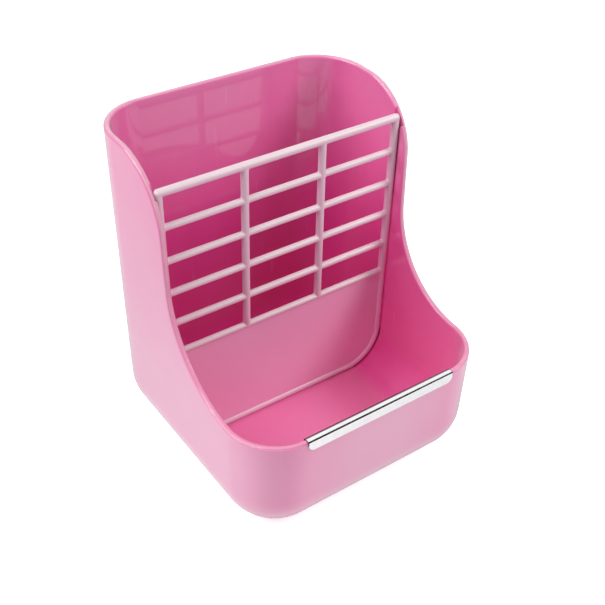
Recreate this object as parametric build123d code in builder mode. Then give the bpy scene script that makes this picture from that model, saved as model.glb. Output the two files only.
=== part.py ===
from build123d import *
from math import cos, radians, sin, tan
import os

# Hay feeder box for rabbits and other small pets, in millimetres.
#
# The frame has +X to the right, +Y to the back and +Z up. The origin is the middle of the tub's
# flat underside. The high hopper at the back holds hay behind a lift-out grille, and the low
# trough in front holds pellets. Two screw clamps on the back hold the box to the wires of a cage.

os.makedirs("parts", exist_ok=True)

# Tub: one moulding with thin walls
tub_width = 140.0  # across the outside of the hopper rim
tub_depth = 143.3  # from the front of the trough rim to the back of the hopper rim
tub_height = 166.0
trough_height = 60.9
wall = 3.0
side_draft = 0.76  # degrees that each side wall leans outwards
front_draft = 0.25
back_draft = 1.6
bottom_radius = 24.5  # round edge between the underside and the walls
corner_land = 2.3  # how much larger the upright corners are than the bottom edge
rim_round = 1.25

# Side cheeks: the S-shaped edge from the hopper rim down to the trough rim
cheek_foot_y = -0.2  # where the steep part of the edge, carried down, meets the trough rim
cheek_lean = 3.4  # degrees that the steep part leans back
hopper_sweep = 33.7  # radius of the upper, outward curve
trough_sweep = 49.2  # radius of the lower, inward curve

# Lift-out grille: round bars above a solid skirt
grille_setback = 8.7  # from the foot of the cheek edge back to the foot of the grille
grille_lean = 1.38  # degrees that the grille leans back
grille_top_gap = 13.6  # from the hopper rim down to the middle of the top bar
frame_bar = 4.0
upright_bar = 3.8
rung_bar = 3.4
rung_pitch = 17.82
bar_blend = 0.8
row_count = 5
column_count = 3
skirt_thickness = 1.8
bar_in_groove = 0.7  # how far the side bars stand into the walls
grille_corner_gap = 0.3  # how far the lower corners stay inside the tub's round bottom edge
groove_side_gap = 0.5
groove_face_gap = 0.45
groove_floor_gap = 0.2
groove_mouth_round = 0.8  # on the tip of each cheek in front of the groove

# Lip guard: folded metal sheet over the front rim
guard_end_gap = 0.8  # from each end of the sheet to where the rim starts to turn its corner
guard_sheet = 0.4
guard_drop = 5.5  # from the top of the rim down both sides
guard_bend = 0.5  # inside radius of the two folds
guard_corner = 4.2
guard_gap = 0.05

# Screw clamps on the back: a captive bolt, a clamp plate and a wing nut each
clamp_spacing = 56.0
clamp_height = 122.0
pad_width = 26.0
pad_above_bolt = 20.0
pad_below_bolt = 14.0
pad_corner = 5.0
pad_round = 1.5
pad_lip = 2.6  # thickness of the pad behind the bolt head
bolt_diameter = 5.0
bolt_length = 20.0  # of the shank, from under its head
bolt_head = 8.0  # across the flats of the square head
bolt_head_thickness = 3.5
bolt_chamfer = 0.6
slot_gap = 0.3  # around the bolt in its slot
wire_gap = 5.0  # open space for a cage wire
plate_width = 26.0
plate_height = 20.0
plate_thickness = 3.0
plate_corner = 4.0
plate_round = 0.8
plate_hole_gap = 0.2
nut_hub_diameter = 10.0
nut_hub_length = 5.0
nut_hub_taper = 6.0  # degrees
nut_bore_gap = 0.05
wing_span = 25.0  # across both wings
wing_rise = 10.5  # from the face of the nut to the tips of the wings
wing_thickness = 2.4
wing_tip_radius = 3.2
wing_round = 0.8

# Places that follow from the sizes above
corner_radius = bottom_radius + corner_land
half_width = tub_width / 2
front_y = -tub_depth / 2
back_y = tub_depth / 2
guard_length = tub_width - 2 * corner_radius - 2 * guard_end_gap
cheek_head_y = cheek_foot_y + tan(radians(cheek_lean)) * (tub_height - trough_height)
grille_foot_y = cheek_foot_y + grille_setback
grille_corner = bottom_radius - wall + bar_in_groove + grille_corner_gap
grille_rise = (tub_height - wall - grille_top_gap) / cos(radians(grille_lean))
skirt_rise = grille_rise - row_count * rung_pitch
pad_back_y = back_y + bolt_head_thickness + slot_gap + pad_lip
head_back_y = pad_back_y - pad_lip
plate_front_y = pad_back_y + wire_gap
nut_front_y = plate_front_y + plate_thickness
clamp_x = {"left": -clamp_spacing / 2, "right": clamp_spacing / 2}


def inner_half_width(height):
    """Half the clear width between the side walls at a height, from their draft."""
    return half_width - wall - tan(radians(side_draft)) * (tub_height - height)


def back_wall_y(height):
    """Outside of the back wall at a height, from its draft."""
    return back_y - tan(radians(back_draft)) * (tub_height - height)


def tub_outline(height, inset):
    """Rounded outline of the tub's four walls at a height, moved inwards by an inset."""
    side = inner_half_width(height) + wall - inset
    front = front_y + inset + tan(radians(front_draft)) * (trough_height - height)
    back = back_wall_y(height) - inset
    with BuildSketch(Plane.XY.offset(height)) as outline:
        with Locations((0, (front + back) / 2)):
            Rectangle(2 * side, back - front)
        fillet(outline.vertices(), radius=corner_radius - inset)
    return outline.sketch


# The grille stands in its own plane: X to the right, Y up along the bars, Z to the front
grille_plane = Plane(
    origin=(0, grille_foot_y, wall),
    x_dir=(1, 0, 0),
    z_dir=(0, -cos(radians(grille_lean)), sin(radians(grille_lean))),
)
grille_foot = inner_half_width(wall) + bar_in_groove
grille_head = inner_half_width(tub_height - grille_top_gap) + bar_in_groove


def grille_side(rise, inset):
    """Half the width of the grille at a rise above its foot, moved inwards by an inset."""
    return grille_foot + (grille_head - grille_foot) * rise / grille_rise - inset


def grille_path(inset, top):
    """Line down the left side, along the foot and up the right side, in the grille's plane."""
    with BuildLine() as path:
        FilletPolyline(
            (-grille_side(top, inset), top),
            (-grille_side(0, inset), inset),
            (grille_side(0, inset), inset),
            (grille_side(top, inset), top),
            radius=grille_corner - inset,
        )
    return path.line


def clamp_plane(x, y):
    """Plane across a clamp bolt, with Y up and Z to the back."""
    return Plane(origin=(x, y, clamp_height), x_dir=(-1, 0, 0), z_dir=(0, 1, 0))


# Side view of what lies above the rim, with Y to the right and Z up
with BuildSketch(Plane.YZ) as above_rim:
    with BuildLine():
        rim_line = FilletPolyline(
            (front_y - wall, trough_height),
            (cheek_foot_y, trough_height),
            (cheek_head_y, tub_height),
            (back_y + wall, tub_height),
            radius=(trough_sweep, hopper_sweep),
        )
        Polyline(
            rim_line @ 1,
            (back_y + wall, tub_height + wall),
            (front_y - wall, tub_height + wall),
            rim_line @ 0,
        )
    make_face()

# Space inside the tub
with BuildPart() as hollow:
    loft([tub_outline(wall, wall), tub_outline(tub_height + wall, wall)], ruled=True)
    fillet(hollow.edges().group_by(Axis.Z)[0], radius=bottom_radius - wall)

# Space that the grille slides in: its outline with clearance, which cuts a groove in each wall
groove_rise = grille_rise + 2 * grille_top_gap
groove_depth = frame_bar / 2 + groove_face_gap
groove_line = grille_path(-groove_side_gap, groove_rise)
with BuildPart() as grille_space:
    with BuildSketch(grille_plane):
        with BuildLine():
            add(groove_line)
            Line(groove_line @ 1, groove_line @ 0)
        make_face()
        with Locations((0, groove_rise / 2 + groove_floor_gap)):
            Rectangle(tub_width, groove_rise, mode=Mode.INTERSECT)
    extrude(amount=groove_depth, both=True)

# Round tips of the cheeks in front of the grooves: a cheek in side view, and what it loses
groove_front_foot = grille_plane.from_local_coords(Vector(0, 0, groove_depth))
groove_front_head = grille_plane.from_local_coords(Vector(0, grille_rise + grille_top_gap, groove_depth))
with BuildSketch(Plane.YZ) as round_cheek:
    with BuildLine():
        Polyline(
            (groove_front_foot.Y, groove_front_foot.Z),
            (groove_front_head.Y, groove_front_head.Z),
            (front_y, groove_front_head.Z),
            (front_y, groove_front_foot.Z),
            close=True,
        )
    make_face()
    add(above_rim.sketch_local, mode=Mode.SUBTRACT)
    cheek_tip = round_cheek.vertices().sort_by(Axis.Y)[-1]
    fillet(cheek_tip, radius=groove_mouth_round)
with BuildPart() as groove_mouths:
    with BuildSketch(Plane.YZ):
        with Locations((cheek_tip.X, cheek_tip.Y)):
            Rectangle(8 * groove_mouth_round, 8 * groove_mouth_round)
        add(round_cheek.sketch_local, mode=Mode.SUBTRACT)
    extrude(amount=grille_side(grille_rise, -groove_side_gap), both=True)

# Pads on the back wall, each with a slot for a bolt's square head, open at the top
pad_height = pad_above_bolt + pad_below_bolt
pad_middle = (pad_above_bolt - pad_below_bolt) / 2
pad_root_y = back_wall_y(clamp_height - pad_below_bolt) - wall / 2
with BuildPart() as clamp_pads:
    for x in clamp_x.values():
        with BuildSketch(clamp_plane(x, pad_root_y)):
            with Locations((0, pad_middle)):
                RectangleRounded(pad_width, pad_height, pad_corner)
        extrude(amount=pad_back_y - pad_root_y)
    fillet(clamp_pads.faces().sort_by(Axis.Y)[-2:].edges(), radius=pad_round)
    for x in clamp_x.values():
        with BuildSketch(clamp_plane(x, back_y)):
            with Locations((0, -bolt_head / 2)):
                Rectangle(bolt_head + 2 * slot_gap, pad_height, align=(Align.CENTER, Align.MIN))
        extrude(amount=head_back_y - back_y, mode=Mode.SUBTRACT)
        with BuildSketch(clamp_plane(x, head_back_y)):
            Circle(bolt_diameter / 2 + slot_gap)
            Rectangle(bolt_diameter + 2 * slot_gap, pad_height, align=(Align.CENTER, Align.MIN))
        extrude(amount=pad_lip, mode=Mode.SUBTRACT)

# Tub: tapered walls, round bottom edge, S-shaped cheeks and a rounded rim
with BuildPart() as feeder_tub:
    loft([tub_outline(0, 0), tub_outline(tub_height, 0)], ruled=True)
    fillet(feeder_tub.edges().group_by(Axis.Z)[0], radius=bottom_radius)
    add(hollow.part, mode=Mode.SUBTRACT)
    with BuildSketch(Plane.YZ):
        add(above_rim.sketch_local)
    extrude(amount=tub_width, both=True, mode=Mode.SUBTRACT)
    rim_edges = feeder_tub.edges(Select.NEW).filter_by(lambda edge: edge.length > 2 * wall)
    fillet(rim_edges, radius=rim_round)
    add(grille_space.part, mode=Mode.SUBTRACT)
    add(groove_mouths.part, mode=Mode.SUBTRACT)
    add(clamp_pads.part)
feeder_tub.part.label = "feeder_tub"
export_step(feeder_tub.part, "parts/feeder_tub.step")

# Grille: one moulding of a bar frame, rungs and uprights above a solid skirt
frame_inset = frame_bar / 2
frame_line = grille_path(frame_inset, grille_rise)
column_pitch = 2 * grille_side((skirt_rise + grille_rise) / 2, frame_inset) / column_count
with BuildPart() as hay_grille:
    with BuildSketch(grille_plane):
        with BuildLine():
            add(frame_line)
            Line(frame_line @ 1, frame_line @ 0)
        make_face()
        with Locations((0, skirt_rise)):
            Rectangle(tub_width, grille_rise, align=(Align.CENTER, Align.MIN), mode=Mode.SUBTRACT)
    extrude(amount=skirt_thickness / 2, both=True)
    frame_path = grille_plane.from_local_coords(frame_line)
    with BuildSketch(Plane(origin=frame_path @ 0, z_dir=frame_path % 0)):
        Circle(frame_bar / 2)
    sweep(path=frame_path)
    for row in range(row_count + 1):
        rise = grille_rise - row * rung_pitch
        bar = rung_bar if row else frame_bar
        with BuildSketch(Plane(origin=grille_plane.from_local_coords((0, rise, 0)), z_dir=(1, 0, 0))):
            Circle(bar / 2)
        extrude(amount=grille_side(rise, frame_inset), both=True)
    skirt_middle = grille_plane.from_local_coords((0, skirt_rise, 0))
    with BuildSketch(Plane(origin=skirt_middle, x_dir=grille_plane.z_dir, z_dir=grille_plane.y_dir)):
        with GridLocations(0, column_pitch, 1, column_count - 1):
            Circle(upright_bar / 2)
    extrude(amount=grille_rise - skirt_rise)
    with Locations(frame_path @ 0, frame_path @ 1):
        Sphere(frame_bar / 2)
    fillet(hay_grille.edges().filter_by(GeomType.BSPLINE), radius=bar_blend)
hay_grille.part.label = "hay_grille"
export_step(hay_grille.part, "parts/hay_grille.step")

# Lip guard: sheet folded twice, with rounded corners on both flanges
with BuildPart() as lip_guard:
    with BuildSketch(Plane.YZ):
        with BuildLine() as fold_line:
            FilletPolyline(
                (front_y - guard_gap, trough_height - guard_drop),
                (front_y - guard_gap, trough_height),
                (front_y + wall + guard_gap, trough_height),
                (front_y + wall + guard_gap, trough_height - guard_drop),
                radius=guard_bend,
            )
            offset(amount=guard_sheet, side=Side.LEFT)
        make_face()
    extrude(amount=guard_length / 2, both=True)
    fillet(lip_guard.edges().filter_by(Axis.Y).group_by(Axis.Z)[0], radius=guard_corner)
lip_guard.part.label = "lip_guard"
export_step(lip_guard.part, "parts/lip_guard.step")

for side, x in clamp_x.items():
    # Bolt: its square head stands on the floor of the slot and pulls on the pad's lip
    with BuildPart() as clamp_bolt:
        with BuildSketch(clamp_plane(x, head_back_y)):
            Rectangle(bolt_head, bolt_head)
        extrude(amount=-bolt_head_thickness)
        with BuildSketch(clamp_plane(x, head_back_y)):
            Circle(bolt_diameter / 2)
        extrude(amount=bolt_length)
        chamfer(clamp_bolt.edges().sort_by(Axis.Y)[-1], length=bolt_chamfer)
    clamp_bolt.part.label = f"{side}_clamp_bolt"
    export_step(clamp_bolt.part, f"parts/{side}_clamp_bolt.step")

    # Clamp plate: presses the cage wires onto the pad
    with BuildPart() as clamp_plate:
        with BuildSketch(clamp_plane(x, plate_front_y)):
            RectangleRounded(plate_width, plate_height, plate_corner)
            Circle(bolt_diameter / 2 + plate_hole_gap, mode=Mode.SUBTRACT)
        extrude(amount=plate_thickness)
        outer_edges = clamp_plate.edges().filter_by(GeomType.CIRCLE, reverse=True)
        fillet(outer_edges.sort_by(Axis.Y)[-4:], radius=plate_round)
    clamp_plate.part.label = f"{side}_clamp_plate"
    export_step(clamp_plate.part, f"parts/{side}_clamp_plate.step")

    # Wing nut: a tapered hub with two rounded wings
    with BuildPart() as wing:
        with BuildSketch(Plane.XY.offset(clamp_height)):
            with Locations((x, nut_front_y + nut_hub_length / 2)):
                Circle(nut_hub_length / 2)
            with Locations((x + wing_span / 2 - wing_tip_radius, nut_front_y + wing_rise - wing_tip_radius)):
                Circle(wing_tip_radius)
            make_hull()
        extrude(amount=wing_thickness / 2, both=True)
        fillet(wing.faces().filter_by(Axis.Z).edges(), radius=wing_round)
    with BuildPart() as wing_nut:
        with BuildSketch(clamp_plane(x, nut_front_y)):
            Circle(nut_hub_diameter / 2)
        extrude(amount=nut_hub_length, taper=nut_hub_taper)
        add(wing.part)
        mirror(wing.part, about=Plane.YZ.offset(x))
        with BuildSketch(clamp_plane(x, nut_front_y)):
            Circle(bolt_diameter / 2 + nut_bore_gap)
        extrude(amount=wing_rise, mode=Mode.SUBTRACT)
    wing_nut.part.label = f"{side}_wing_nut"
    export_step(wing_nut.part, f"parts/{side}_wing_nut.step")
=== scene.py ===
"""Hay feeder box: looks for the moulded tub, the lift-out grille, the lip guard and the screw clamps."""
import math

import bpy
import numpy as np
from mathutils import Matrix, Vector


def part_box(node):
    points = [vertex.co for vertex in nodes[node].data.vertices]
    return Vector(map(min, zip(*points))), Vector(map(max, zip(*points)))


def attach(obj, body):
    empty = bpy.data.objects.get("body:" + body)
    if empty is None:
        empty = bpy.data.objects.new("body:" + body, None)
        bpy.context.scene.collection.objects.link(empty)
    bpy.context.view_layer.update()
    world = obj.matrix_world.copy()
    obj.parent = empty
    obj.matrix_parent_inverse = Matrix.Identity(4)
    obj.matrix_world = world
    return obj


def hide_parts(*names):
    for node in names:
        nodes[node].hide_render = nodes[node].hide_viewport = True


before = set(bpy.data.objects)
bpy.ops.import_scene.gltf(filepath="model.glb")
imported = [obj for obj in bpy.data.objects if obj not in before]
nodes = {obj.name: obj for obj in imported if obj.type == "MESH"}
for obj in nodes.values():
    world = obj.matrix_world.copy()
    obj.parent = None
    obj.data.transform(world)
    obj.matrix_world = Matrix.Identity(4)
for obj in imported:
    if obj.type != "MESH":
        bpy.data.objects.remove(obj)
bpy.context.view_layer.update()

# ---------------------------------------------------------------- camera
sensor_width = 36.0  # millimetres across the image
image_pixels = 605
focal_pixels = 1016.78
camera_place = (-0.23585, -0.31896, 0.38210)  # metres
camera_yaw, camera_pitch, camera_roll = -37.047, -37.792, 2.573  # degrees
nearest_seen, farthest_seen = 0.01, 50.0  # metres


def aim_camera(place, yaw, pitch, roll, focal_share):
    """Camera at a place, turned by yaw about the upright axis, then pitch, then roll about its own axis.

    focal_share is the focal length as a share of the image's width.
    """
    yaw, pitch, roll = map(math.radians, (yaw, pitch, roll))
    ahead = Vector((-math.sin(yaw) * math.cos(pitch), math.cos(yaw) * math.cos(pitch), math.sin(pitch)))
    right = ahead.cross(Vector((0, 0, 1))).normalized()
    up = right.cross(ahead)
    turned_right = math.cos(roll) * right + math.sin(roll) * up
    turned_up = math.cos(roll) * up - math.sin(roll) * right
    data = bpy.data.cameras.new("product_camera")
    data.sensor_width = sensor_width
    data.lens = focal_share * sensor_width
    data.clip_start, data.clip_end = nearest_seen, farthest_seen
    camera = bpy.data.objects.new("product_camera", data)
    turn = Matrix((turned_right, turned_up, -ahead)).transposed().to_4x4()
    camera.matrix_world = Matrix.Translation(place) @ turn
    bpy.context.scene.collection.objects.link(camera)
    bpy.context.scene.camera = camera


aim_camera(camera_place, camera_yaw, camera_pitch, camera_roll, focal_pixels / image_pixels)


# ---------------------------------------------------------------- node helper
class Nodes:
    """Short way to add linked shader nodes to a tree."""

    def __init__(self, tree):
        self.tree = tree
        tree.nodes.clear()

    def feed(self, socket, value):
        """Links a node's output to the socket, or sets a plain value on it."""
        if isinstance(value, bpy.types.NodeSocket):
            self.tree.links.new(value, socket)
        else:
            socket.default_value = value

    def add(self, kind, inputs=None, **settings):
        """Adds one node; inputs are named or numbered sockets, settings are the node's own."""
        node = self.tree.nodes.new(kind)
        for name, value in settings.items():
            setattr(node, name, value)
        for name, value in (inputs or {}).items():
            self.feed(node.inputs[name], value)
        return node

    def coordinates(self):
        """The place on the object, and the way its surface faces there."""
        node = self.add("ShaderNodeTexCoord")
        return node.outputs["Object"], node.outputs["Normal"]

    def split(self, vector):
        """The x, y and z of a vector."""
        return tuple(self.add("ShaderNodeSeparateXYZ", {"Vector": vector}).outputs)

    def noise(self, place, scale, detail=2.0, roughness=0.5):
        inputs = {"Vector": place, "Scale": scale, "Detail": detail, "Roughness": roughness}
        return self.add("ShaderNodeTexNoise", inputs).outputs["Fac"]

    def stretched(self, place, across):
        """The place scaled by its own factor along each axis, which draws a noise out into lines."""
        return self.add("ShaderNodeMapping", {"Vector": place, "Scale": across}).outputs["Vector"]

    def ramp(self, factor, *stops):
        """Straight lines between stops, each of them a factor from 0 to 1 and the value there."""
        node = self.add("ShaderNodeValToRGB", {"Fac": factor})
        elements = node.color_ramp.elements
        while len(elements) < len(stops):
            elements.new(0.5)
        for element, (place, value) in zip(elements, stops):
            element.position = place
            element.color = (value, value, value, 1.0)
        return node.outputs["Color"]

    def slope(self, factor, span, first_value=0.0, last_value=1.0):
        """Straight line from first_value at the span's start to last_value at its end, level beyond them."""
        start, end = span
        share = self.maths("DIVIDE", self.maths("SUBTRACT", factor, start), end - start)
        return self.ramp(share, (0.0, first_value), (1.0, last_value))

    def mix(self, share, first, second):
        """The first colour where the share is 0, the second where it is 1.

        The node's sockets for colours go by number, because those for other values have the same names.
        """
        node = self.add("ShaderNodeMix", {0: share, 6: first, 7: second}, data_type="RGBA")
        return node.outputs[2]

    def layered(self, colour, *layers):
        """A colour with each layer, a share and a colour, mixed over it in turn."""
        for share, layer_colour in layers:
            colour = self.mix(share, colour, layer_colour)
        return colour

    def maths(self, operation, *values):
        node = self.add("ShaderNodeMath", operation=operation)
        for socket, value in zip(node.inputs, values):
            self.feed(socket, value)
        return node.outputs["Value"]

    def vector_maths(self, operation, *vectors, result="Vector"):
        node = self.add("ShaderNodeVectorMath", operation=operation)
        for socket, vector in zip(node.inputs, vectors):
            self.feed(socket, vector)
        return node.outputs[result]

    def bump(self, height, strength, distance):
        inputs = {"Height": height, "Strength": strength, "Distance": distance}
        return self.add("ShaderNodeBump", inputs).outputs["Normal"]

    def shade(self, inputs):
        """Ends the material in a Principled shader with these inputs."""
        shader = self.add("ShaderNodeBsdfPrincipled", inputs)
        self.add("ShaderNodeOutputMaterial", {"Surface": shader.outputs["BSDF"]})


def new_material(name):
    material = bpy.data.materials.new(name)
    material.use_nodes = True
    return material, Nodes(material.node_tree)


def dress(node_name, material):
    """Gives a CAD node one material in place of its own."""
    mesh = nodes[node_name].data
    mesh.materials.clear()
    mesh.materials.append(material)


# ---------------------------------------------------------------- moulded plastic
plastic_ior = 1.5
scuff_dullness = 0.1  # roughness that a scratch adds
peel_depth = 0.0003  # metres
grain_share = 0.08  # of the fine grain on the broad waves


def scuffs(n, place, across):
    """Hair scratches, 1 on a line: thin lines of a stretched noise where a second, broad noise is high."""
    lines = n.ramp(n.noise(n.stretched(place, across), scale=1.0), (0.64, 0.0), (0.72, 1.0))
    patches = n.ramp(n.noise(place, scale=45.0), (0.5, 0.0), (0.62, 1.0))
    return n.maths("MULTIPLY", lines, patches)


def orange_peel(n, place, strength):
    """Bump of a moulded skin: broad shallow waves with a finer grain on them."""
    grain = n.noise(place, scale=700.0, detail=1.0)
    waves = n.noise(place, scale=60.0, detail=1.0)
    return n.bump(n.maths("MULTIPLY_ADD", grain, grain_share, waves), strength, peel_depth)


# ---------------------------------------------------------------- tub, clamp plates and wing nuts
# Colours are linear red, green, blue and alpha. A foot colour gives way to its head colour up the tub.
# Painted light: the foot colour is a brighter, redder deep pink, for light that reaches low down.
deep_foot_painted_light_pink = (0.88, 0.022, 0.33, 1.0)
deep_head_pink = (0.80, 0.034, 0.325, 1.0)
# Painted reflection: a pale veil for the light that the tub's surfaces reflect.
painted_veil_pink = (0.87, 0.345, 0.56, 1.0)
cloud_pink = (1.0, 0.9, 0.95, 1.0)
# Painted veil on the rim tops, paler higher up.
rim_foot_painted_veil_pink = (0.78, 0.26, 0.42, 1.0)
rim_head_painted_veil_pink = (0.77, 0.38, 0.49, 1.0)
# Painted shade on the rim's outer shoulder.
shoulder_painted_shade_pink = (0.72, 0.13, 0.33, 1.0)
# Painted light: a brighter pink in the grooves, on top of the subsurface scattering there.
groove_painted_light_pink = (0.95, 0.07, 0.38, 1.0)
scuff_pink = (0.95, 0.8, 0.88, 1.0)

# How much of a layer's colour shows where its mask is full
cloud_strength, shoulder_shade_strength, scuff_strength = 0.04, 0.7, 0.06
corner_shade_depth = 0.36  # share of the outer painted veil that gives way to painted shade near the ends of the front and back walls
rim_dullness = 0.25  # roughness that rubbing adds to the rim

# Shares of the painted veil, which stands in for reflected light, at the start and at the end of a span
bowl_painted_veil = (0.42, 0.04)
hopper_painted_veil = (0.0, 0.36)
outer_painted_veil = (1.0, 0.45)

# Spans in metres over which one tone gives way to the next, along the axis that ends the name
deep_z = (0.05, 0.12)
rim_veil_z = (0.06, 0.15)
outer_wall_z = (0.05, 0.15)
hopper_head_z = (0.08, 0.14)
bowl_y = (-0.06, 0.01)
corner_shade_x = (0.012, 0.05)
rim_z = (0.048, 0.054)

middle_point = (0.0, 0.0, 0.03)  # faces count as looking in or out as seen from here
outward_distance = (-0.045, -0.005)  # from that point to a face's plane, along the face's normal

# Grooves that hold the grille, in metres
groove_foot_y = 0.00843
groove_lean = math.radians(1.38)
groove_distance = (0.0025, 0.0029)  # from the grille's middle plane
wall_inner_x = (0.0635, 0.0645)
wall_outer_x = (0.0673, 0.0677)
round_bottom_z = (0.0225, 0.0255)
groove_glow_reach = (0.015, 0.003, 0.006)  # how far red, green and blue light spread in the plastic


def facing_shares(n, place, normal, z):
    """Three shares that tell the tub's surfaces apart by where their normals point.

    Outward is 0 on faces that look in and 1 on faces that look out: the dot product of the normal and the
    way from the middle point, spread over outward_distance. Rim is 1 where the normal lies across the level
    way out from the upright middle line, as it does on the rim's top, and 0 on walls and below the rim.
    Shoulder is 1 on the rim's outer shoulder, where the normal leans half way out; shade is painted there.
    """
    away = n.vector_maths("SUBTRACT", place, middle_point)
    facing = n.vector_maths("DOT_PRODUCT", away, normal, result="Value")
    outward = n.slope(facing, outward_distance)
    level = n.vector_maths("MULTIPLY", place, (1.0, 1.0, 0.0))
    way_out = n.vector_maths("NORMALIZE", level)
    across = n.vector_maths("DOT_PRODUCT", way_out, normal, result="Value")
    upright = n.ramp(n.maths("ABSOLUTE", across), (0.4, 1.0), (0.8, 0.0))
    half_out = n.ramp(across, (0.45, 0.0), (0.58, 1.0), (0.72, 1.0), (0.8, 0.0))
    high_up = n.slope(z, rim_z)
    return outward, n.maths("MULTIPLY", upright, high_up), n.maths("MULTIPLY", half_out, high_up)


def corner_shade_share(n, x, normal):
    """1 where the outer painted veil gives way to painted shade: towards the ends of the front and back
    walls, less round the corners.

    The formula is the square of the normal's y, times the slope of the distance from the middle plane.
    """
    facing_y = n.split(normal)[1]
    reach = n.slope(n.maths("ABSOLUTE", x), corner_shade_x)
    return n.maths("MULTIPLY", n.maths("MULTIPLY", facing_y, facing_y), reach)


def groove_share(n, x, y, z):
    """1 in the grooves that hold the grille, 0 elsewhere.

    That is above the round bottom edge, between the inner and the outer face of a side wall, and near the
    grille's leaning middle plane, from which the distance is y, less the foot's y, less z times the tangent
    of the lean.
    """
    leaning = n.maths("MULTIPLY_ADD", z, -math.tan(groove_lean), y)
    off_plane = n.maths("ABSOLUTE", n.maths("SUBTRACT", leaning, groove_foot_y))
    sideways = n.maths("ABSOLUTE", x)
    near_plane = n.slope(off_plane, groove_distance, 1.0, 0.0)
    past_inner = n.slope(sideways, wall_inner_x)
    short_of_outer = n.slope(sideways, wall_outer_x, 1.0, 0.0)
    above_bottom = n.slope(z, round_bottom_z)
    in_wall = n.maths("MULTIPLY", past_inner, short_of_outer)
    return n.maths("MULTIPLY", n.maths("MULTIPLY", near_plane, above_bottom), in_wall)


def painted_veil_share(n, x, y, z, normal, outward):
    """Share of the painted veil, a pale pink for reflected light: in the bowl and the hopper's head inside,
    and on the outside, where it gives way to painted shade towards the ends of the front and back walls.
    """
    inner = n.maths("MAXIMUM", n.slope(y, bowl_y, *bowl_painted_veil), n.slope(z, hopper_head_z, *hopper_painted_veil))
    # Painted shade: less of the veil near the ends of the front and back walls.
    veil_left_by_shade = n.maths("MULTIPLY_ADD", corner_shade_share(n, x, normal), -corner_shade_depth, 1.0)
    outer = n.maths("MULTIPLY", n.slope(z, outer_wall_z, *outer_painted_veil), veil_left_by_shade)
    return n.mix(outward, inner, outer)


def tub_finish(name, roughness):
    """Glossy moulding: deep pink under clouds and scratches, with painted light: a brighter foot, a pale
    veil for reflections, a pale veil and a rougher finish on the rim, painted shade on its shoulder, and
    grooves painted brighter, where subsurface scattering lights them too.
    """
    material, n = new_material(name)
    place, normal = n.coordinates()
    x, y, z = n.split(place)
    outward, rim, shoulder = facing_shares(n, place, normal, z)
    painted_veil = painted_veil_share(n, x, y, z, normal, outward)
    groove = groove_share(n, x, y, z)
    wear = scuffs(n, place, across=(260.0, 420.0, 14.0))
    # Painted light: the deep pink turns brighter and redder low down.
    deep = n.mix(n.slope(z, deep_z), deep_foot_painted_light_pink, deep_head_pink)
    rim_painted_veil = n.mix(n.slope(z, rim_veil_z), rim_foot_painted_veil_pink, rim_head_painted_veil_pink)
    clouds = n.ramp(n.noise(place, scale=18.0, detail=3.0), (0.35, 0.0), (0.7, 1.0))
    rim_veil_patches = n.ramp(n.noise(place, scale=240.0, detail=3.0), (0.3, 0.6), (0.7, 1.0))
    colour = n.layered(
        deep,
        # Painted reflection: the pale veil.
        (painted_veil, painted_veil_pink),
        (n.maths("MULTIPLY", clouds, cloud_strength), cloud_pink),
        # Painted veil on the rim tops, broken into patches.
        (n.maths("MULTIPLY", rim, rim_veil_patches), rim_painted_veil),
        # Painted shade on the rim's outer shoulder.
        (n.maths("MULTIPLY", shoulder, shoulder_shade_strength), shoulder_painted_shade_pink),
        # Painted light: the brighter grooves.
        (groove, groove_painted_light_pink),
        (n.maths("MULTIPLY", wear, scuff_strength), scuff_pink),
    )
    smears = n.noise(place, scale=60.0, detail=4.0, roughness=0.6)
    smeared = n.ramp(smears, (0.3, roughness - 0.03), (0.7, roughness + 0.04))
    scuffed = n.maths("MULTIPLY_ADD", wear, scuff_dullness, smeared)
    n.shade(
        {
            "Base Color": colour,
            "Roughness": n.maths("MULTIPLY_ADD", rim, rim_dullness, scuffed),
            "IOR": plastic_ior,
            "Coat Weight": 1.0,
            "Coat Roughness": 0.04,
            "Sheen Weight": 0.4,
            "Sheen Roughness": 0.5,
            "Subsurface Weight": groove,
            "Subsurface Radius": groove_glow_reach,
            "Subsurface Scale": 1.0,
            "Normal": orange_peel(n, place, strength=0.03),
        }
    )
    return material


# ---------------------------------------------------------------- grille
bar_top_painted_highlight_pink = (0.82, 0.66, 0.70, 1.0)
bar_side_shade_and_speckle_pink = (0.74, 0.48, 0.60, 1.0)
plate_pink = (0.86, 0.415, 0.64, 1.0)
bleached_pink = (1.0, 0.97, 0.97, 1.0)
bleach_strength = 0.06
# Painted shade: low in the grooves the side bars take the plate's pinker colour.
side_bar_painted_shade_share = 0.85  # of the plate's colour, low down
# Painted highlight: the foot bar takes the bars' paler colours.
foot_bar_painted_highlight_share = 0.8  # of the bars' colour

# Spans in metres over which one tone gives way to the next, along the axis that ends the name
side_bar_x = (0.0585, 0.0605)
side_bar_z = (0.07, 0.15)
plate_top_z = (0.0610, 0.0626)
foot_bar_z = (0.0062, 0.0072)


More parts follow.
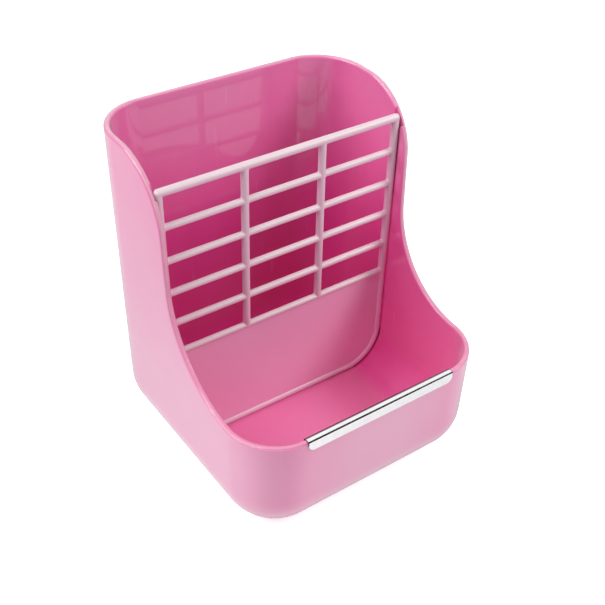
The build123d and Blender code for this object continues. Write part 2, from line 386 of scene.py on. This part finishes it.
def grille_finish(name, roughness):
    """Pale moulding: bars with a painted highlight on top and painted shade on their sides, and a plate that
    is pinker still.

    As painted shade, the side bars in the grooves take the plate's colour too, the more the lower they are.
    The foot bar takes the bars' colours, as a painted highlight.
    """
    material, n = new_material(name)
    place, normal = n.coordinates()
    x, _, z = n.split(place)
    upward = n.split(normal)[2]
    # Painted light: a highlight on faces that look up, and shade on the bars' sides.
    bars = n.mix(n.slope(upward, (0.0, 0.5)), bar_side_shade_and_speckle_pink, bar_top_painted_highlight_pink)
    side_bars = n.slope(n.maths("ABSOLUTE", x), side_bar_x)
    # Painted shade: low in the grooves the side bars take the plate's pinker colour.
    low_down = n.slope(z, side_bar_z, side_bar_painted_shade_share, 0.0)
    bars = n.mix(n.maths("MULTIPLY", side_bars, low_down), bars, plate_pink)
    # Painted highlight: the foot bar takes the bars' paler colours.
    above_plate = n.slope(z, plate_top_z)
    foot_bar = n.slope(z, foot_bar_z, foot_bar_painted_highlight_share, 0.0)
    clouds = n.ramp(n.noise(place, scale=30.0, detail=3.0), (0.35, 0.0), (0.7, 1.0))
    speckle = n.ramp(n.noise(place, scale=650.0), (0.4, 0.0), (0.65, 0.12))
    colour = n.layered(
        plate_pink,
        (n.maths("MAXIMUM", above_plate, foot_bar), bars),
        (n.maths("MULTIPLY", clouds, bleach_strength), bleached_pink),
        (speckle, bar_side_shade_and_speckle_pink),
    )
    wear = scuffs(n, place, across=(14.0, 300.0, 420.0))
    smears = n.noise(place, scale=80.0, detail=4.0, roughness=0.6)
    smeared = n.ramp(smears, (0.3, roughness - 0.03), (0.7, roughness + 0.05))
    n.shade(
        {
            "Base Color": colour,
            "Roughness": n.maths("MULTIPLY_ADD", wear, scuff_dullness, smeared),
            "IOR": plastic_ior,
            "Coat Weight": 0.3,
            "Coat Roughness": 0.1,
            "Sheen Weight": 0.3,
            "Sheen Roughness": 0.5,
            "Normal": orange_peel(n, place, strength=0.04),
        }
    )
    return material


# ---------------------------------------------------------------- lip guard and bolts
polished_grey, handled_grey = (0.93, 0.94, 0.95, 1.0), (0.88, 0.89, 0.90, 1.0)
zinc_grey, dull_zinc_grey = (0.60, 0.60, 0.62, 1.0), (0.45, 0.45, 0.46, 1.0)
painted_shade_red = (0.16, 0.05, 0.08, 1.0)
line_shade_share, foot_shadow_share = 0.95, 0.35  # shares of its colour

# Where shade is painted on the guard, in metres, along the axis that ends the name
guard_low, guard_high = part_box("lip_guard")
back_fold_y = (guard_high.y - 0.0016, guard_high.y - 0.0011)
back_fold_z = (guard_high.z - 0.0015, guard_high.z - 0.0007)
cut_end_x = (guard_high.x - 0.0003, guard_high.x - 0.0001)
guard_foot_z = (guard_low.z + 0.0001, guard_low.z + 0.0005)


def bright_steel(name, colour, dull_colour, roughness, drawn_across, bump_strength, painted_shade=None):
    """Bright metal: fine lines drawn along one axis, dull spots, and a roughness that varies with both.

    The function given for the painted shade gives its share at a place.
    """
    material, n = new_material(name)
    place, _ = n.coordinates()
    lines = n.noise(n.stretched(place, drawn_across), scale=1.0, detail=3.0)
    spots = n.noise(place, scale=420.0, detail=3.0, roughness=0.6)
    base = n.mix(n.ramp(spots, (0.42, 0.0), (0.62, 1.0)), colour, dull_colour)
    # Painted shade: dark lines and a faint shadow, where a function for them is given.
    if painted_shade:
        base = n.mix(painted_shade(n, place), base, painted_shade_red)
    line_roughness = n.ramp(lines, (0.35, roughness), (0.75, roughness + 0.03))
    spot_roughness = n.ramp(spots, (0.4, 0.0), (0.8, 0.02))
    n.shade(
        {
            "Base Color": base,
            "Metallic": 1.0,
            "Roughness": n.maths("ADD", line_roughness, spot_roughness),
            "Normal": n.bump(lines, bump_strength, distance=0.0001),
        }
    )
    return material


def guard_painted_shade(n, place):
    """Painted shade on the guard: a dark line along its back fold, dark cut ends, and a faint painted shadow
    at its feet.
    """
    x, y, z = n.split(place)
    past_crest = n.slope(y, back_fold_y, 0.0, line_shade_share)
    back_fold = n.maths("MULTIPLY", past_crest, n.slope(z, back_fold_z))
    ends = n.slope(n.maths("ABSOLUTE", x), cut_end_x, 0.0, line_shade_share)
    feet = n.slope(z, guard_foot_z, foot_shadow_share, 0.0)
    return n.maths("MAXIMUM", n.maths("MAXIMUM", back_fold, ends), feet)


# ---------------------------------------------------------------- dressing
tub_plastic = tub_finish("tub_plastic", roughness=0.35)
grille_plastic = grille_finish("grille_plastic", roughness=0.35)
guard_metal = bright_steel(
    "guard_metal", polished_grey, handled_grey,
    roughness=0.03, drawn_across=(6.0, 900.0, 900.0), bump_strength=0.01, painted_shade=guard_painted_shade,
)
bolt_metal = bright_steel(
    "bolt_metal", zinc_grey, dull_zinc_grey,
    roughness=0.22, drawn_across=(700.0, 12.0, 700.0), bump_strength=0.05,
)

dress("feeder_tub", tub_plastic)
dress("hay_grille", grille_plastic)
dress("lip_guard", guard_metal)
for side in ("left", "right"):
    dress(f"{side}_clamp_plate", tub_plastic)
    dress(f"{side}_wing_nut", tub_plastic)


# ---------------------------------------------------------------- threaded bolts
ring_points = 72
rings_per_turn = 12
corner_power = 9  # the higher, the sharper the head's corners
crease_angle = math.radians(35)

# Lengths in metres
head_chamfer, tip_chamfer = 0.0004, 0.0006
plain_neck = 0.0015  # smooth part of the shank under the head
thread_start = 0.001  # part over which the thread reaches its full depth


def surface(name, grid, material):
    """Closed mesh of a grid of points: each row is a ring, and the first and the last ring are capped."""
    rows, columns = grid.shape[:2]
    here = np.arange(rows * columns).reshape(rows, columns)
    ahead = np.roll(here, -1, axis=1)
    walls = np.stack([here[:-1], ahead[:-1], ahead[1:], here[1:]], axis=-1).reshape(-1, 4)
    mesh = bpy.data.meshes.new(name)
    faces = walls.tolist() + [here[0, ::-1].tolist(), here[-1].tolist()]
    mesh.from_pydata(grid.reshape(-1, 3).tolist(), [], faces)
    mesh.shade_smooth()
    mesh.set_sharp_from_angle(angle=crease_angle)
    mesh.materials.append(material)
    piece = bpy.data.objects.new(name, mesh)
    bpy.context.scene.collection.objects.link(piece)
    return piece


def threaded_bolt(name, node, material, head_length, head_side, shank_radius, pitch, thread_depth):
    """Square-headed bolt along Y, standing where its node stands.

    Each row is a ring round the axis. In the head its radius is that of a rounded square, a superellipse:
    the half side over the root of the sum of the cosine and the sine of the angle, each raised to the
    corner power. The half side shrinks by a chamfer at both ends. In the shank the radius is the shank's
    own less the thread's depth times a triangle wave of the distance over the pitch less the angle over
    one turn. The wave runs as a helix and fades out at the head, and the tip is chamfered.
    """
    low, high = (np.array(corner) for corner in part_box(node))
    axis_x, axis_z = (low[0] + high[0]) / 2, (low[2] + high[2]) / 2
    around = np.linspace(0.0, 2.0 * np.pi, ring_points, endpoint=False)

    # The head's first two rings lie in its flat end.
    head_along = np.array([0.0, 0.0, head_chamfer, head_length - head_chamfer, head_length])
    half_side = head_side / 2 - np.array([2.0, 1.0, 0.0, 0.0, 1.0]) * head_chamfer
    across, upright = np.abs(np.cos(around)), np.abs(np.sin(around))
    square = (across ** corner_power + upright ** corner_power) ** (-1 / corner_power)
    head = half_side[:, None] * square[None, :]

    # The shank has two rings where it meets the head, and then those of the thread.
    shank_length = high[1] - low[1] - head_length
    ring_count = int(shank_length / pitch * rings_per_turn)
    along = np.concatenate([[0.0], np.linspace(0.0, shank_length, ring_count)])
    wave = (along[:, None] / pitch - around[None, :] / (2.0 * np.pi)) % 1.0
    groove = np.abs(2.0 * wave - 1.0)
    fade = np.clip((along - plain_neck) / thread_start, 0.0, 1.0)[:, None]
    end_taper = np.clip(along - (shank_length - tip_chamfer), 0.0, None)[:, None]
    shank = np.minimum(shank_radius - thread_depth * groove * fade, shank_radius - end_taper)

    distance = np.concatenate([head_along, head_length + along])
    radius = np.concatenate([head, shank])
    grid = np.stack(
        [
            axis_x + radius * np.cos(around),
            np.broadcast_to(low[1] + distance[:, None], radius.shape),
            axis_z - radius * np.sin(around),
        ],
        axis=-1,
    )
    bolt = surface(name, grid, material)
    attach(bolt, "tub")
    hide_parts(node)
    return bolt


for side in ("left", "right"):
    threaded_bolt(
        f"{side}_threaded_bolt", f"{side}_clamp_bolt", bolt_metal,
        head_length=0.0035, head_side=0.008, shank_radius=0.0025, pitch=0.0008, thread_depth=0.0004,
    )


# ---------------------------------------------------------------- studio
pure_white = (1.0, 1.0, 1.0, 1.0)
floor_paper = (0.85, 0.85, 0.85, 1.0)
card_black = (0.02, 0.02, 0.02, 1.0)

# Sizes and places in metres
object_middle = (0.0, 0.0, 0.08)
floor_half_width = 3.0
floor_drop = 0.0002  # from the box's underside down to the floor, so that the two faces don't meet
lit_reach = (0.15, 0.9)  # from the middle of the floor to where the lamps' light has fallen off

# Strengths, where 1 shows as white
floor_glow_near, floor_glow_far, floor_glow_mirrored = 0.65, 1.0, 0.05
world_light, world_seen = 0.2, 1.0


def white_floor():
    """Pale floor that the camera sees as white, apart from the object's soft shadow.

    What the camera sees glows less near the object and more far off, where the lamps no longer reach. Shiny
    surfaces see little of that glow.
    """
    half = floor_half_width
    mesh = bpy.data.meshes.new("studio_floor")
    corners = [(-half, -half, 0), (half, -half, 0), (half, half, 0), (-half, half, 0)]
    mesh.from_pydata(corners, [], [(0, 1, 2, 3)])
    floor = bpy.data.objects.new("studio_floor", mesh)
    floor.location.z = -floor_drop
    bpy.context.scene.collection.objects.link(floor)
    material, n = new_material("studio_floor")
    paper = n.add("ShaderNodeBsdfDiffuse", {"Color": floor_paper})
    path = n.add("ShaderNodeLightPath")
    place, _ = n.coordinates()
    distance = n.vector_maths("LENGTH", place, result="Value")
    seen_glow = n.slope(distance, lit_reach, floor_glow_near, floor_glow_far)
    mirrored = n.maths("MAXIMUM", path.outputs["Is Glossy Ray"], path.outputs["Is Transmission Ray"])
    strength = n.maths(
        "ADD",
        n.maths("MULTIPLY", path.outputs["Is Camera Ray"], seen_glow),
        n.maths("MULTIPLY", mirrored, floor_glow_mirrored),
    )
    glow = n.add("ShaderNodeEmission", {"Color": pure_white, "Strength": strength})
    both = n.add("ShaderNodeAddShader", {0: paper.outputs["BSDF"], 1: glow.outputs["Emission"]})
    n.add("ShaderNodeOutputMaterial", {"Surface": both.outputs["Shader"]})
    mesh.materials.append(material)


def studio_world():
    """Even pale light all round; the camera and shiny surfaces see it as white."""
    world = bpy.data.worlds.new("studio_world")
    world.use_nodes = True
    n = Nodes(world.node_tree)
    path = n.add("ShaderNodeLightPath")
    seen = n.maths("MAXIMUM", path.outputs["Is Camera Ray"], path.outputs["Is Glossy Ray"])
    seen = n.maths("MAXIMUM", seen, path.outputs["Is Transmission Ray"])
    strength = n.maths("MULTIPLY_ADD", seen, world_seen - world_light, world_light)
    light = n.add("ShaderNodeBackground", {"Color": pure_white, "Strength": strength})
    n.add("ShaderNodeOutputWorld", {"Surface": light.outputs["Background"]})
    bpy.context.scene.world = world


def soft_box(name, place, side, power):
    """Square lamp at a place, facing the middle of the object; its power is in watts."""
    data = bpy.data.lights.new(name, "AREA")
    data.shape = "SQUARE"
    data.size = side
    data.energy = power
    lamp = bpy.data.objects.new(name, data)
    lamp.location = place
    lamp.rotation_mode = "QUATERNION"
    lamp.rotation_quaternion = (Vector(object_middle) - Vector(place)).to_track_quat("-Z", "Y")
    bpy.context.scene.collection.objects.link(lamp)


def dark_card(distance, azimuths, foot_elevations, top_elevation, columns=25, rows=13):
    """Part of a sphere round the object that only shiny surfaces see, as a dark card beside a lamp.

    For azimuth a and elevation e, a point is the distance times the cosine of e times the cosine of a, the
    cosine of e times the sine of a, and the sine of e. The card's foot has one elevation for each azimuth
    given, and runs straight between them. Angles are in degrees.
    """
    turn, share = np.meshgrid(np.linspace(azimuths[0], azimuths[-1], columns), np.linspace(0.0, 1.0, rows))
    foot = np.interp(turn, azimuths, foot_elevations)
    turn, rise = np.radians(turn), np.radians(foot + (top_elevation - foot) * share)
    across = np.cos(rise)
    points = distance * np.stack([across * np.cos(turn), across * np.sin(turn), np.sin(rise)], axis=-1)
    index = np.arange(rows * columns).reshape(rows, columns)
    corners = [index[:-1, :-1], index[1:, :-1], index[1:, 1:], index[:-1, 1:]]
    faces = np.stack(corners, axis=-1).reshape(-1, 4)
    mesh = bpy.data.meshes.new("dark_card")
    mesh.from_pydata(points.reshape(-1, 3).tolist(), [], faces.tolist())
    material, n = new_material("dark_card")
    black = n.add("ShaderNodeBsdfDiffuse", {"Color": card_black})
    n.add("ShaderNodeOutputMaterial", {"Surface": black.outputs["BSDF"]})
    mesh.materials.append(material)
    card = bpy.data.objects.new("dark_card", mesh)
    card.visible_camera = card.visible_diffuse = card.visible_transmission = card.visible_shadow = False
    bpy.context.scene.collection.objects.link(card)


dark_card(
    distance=0.85,
    azimuths=(-80.0, -64.0, -45.0, 0.0, 16.0),
    foot_elevations=(0.0, 0.0, 32.0, 50.0, 50.0),
    top_elevation=74.0,
)
white_floor()
studio_world()
soft_box("left_softbox", (-0.88, 0.0, 1.47), side=0.8, power=10.0)
soft_box("back_left_softbox", (-1.2, 0.64, 1.07), side=0.8, power=11.9)
soft_box("front_right_softbox", (0.66, -0.54, 0.79), side=0.5, power=7.0)
bpy.context.scene.view_settings.view_transform = "Standard"
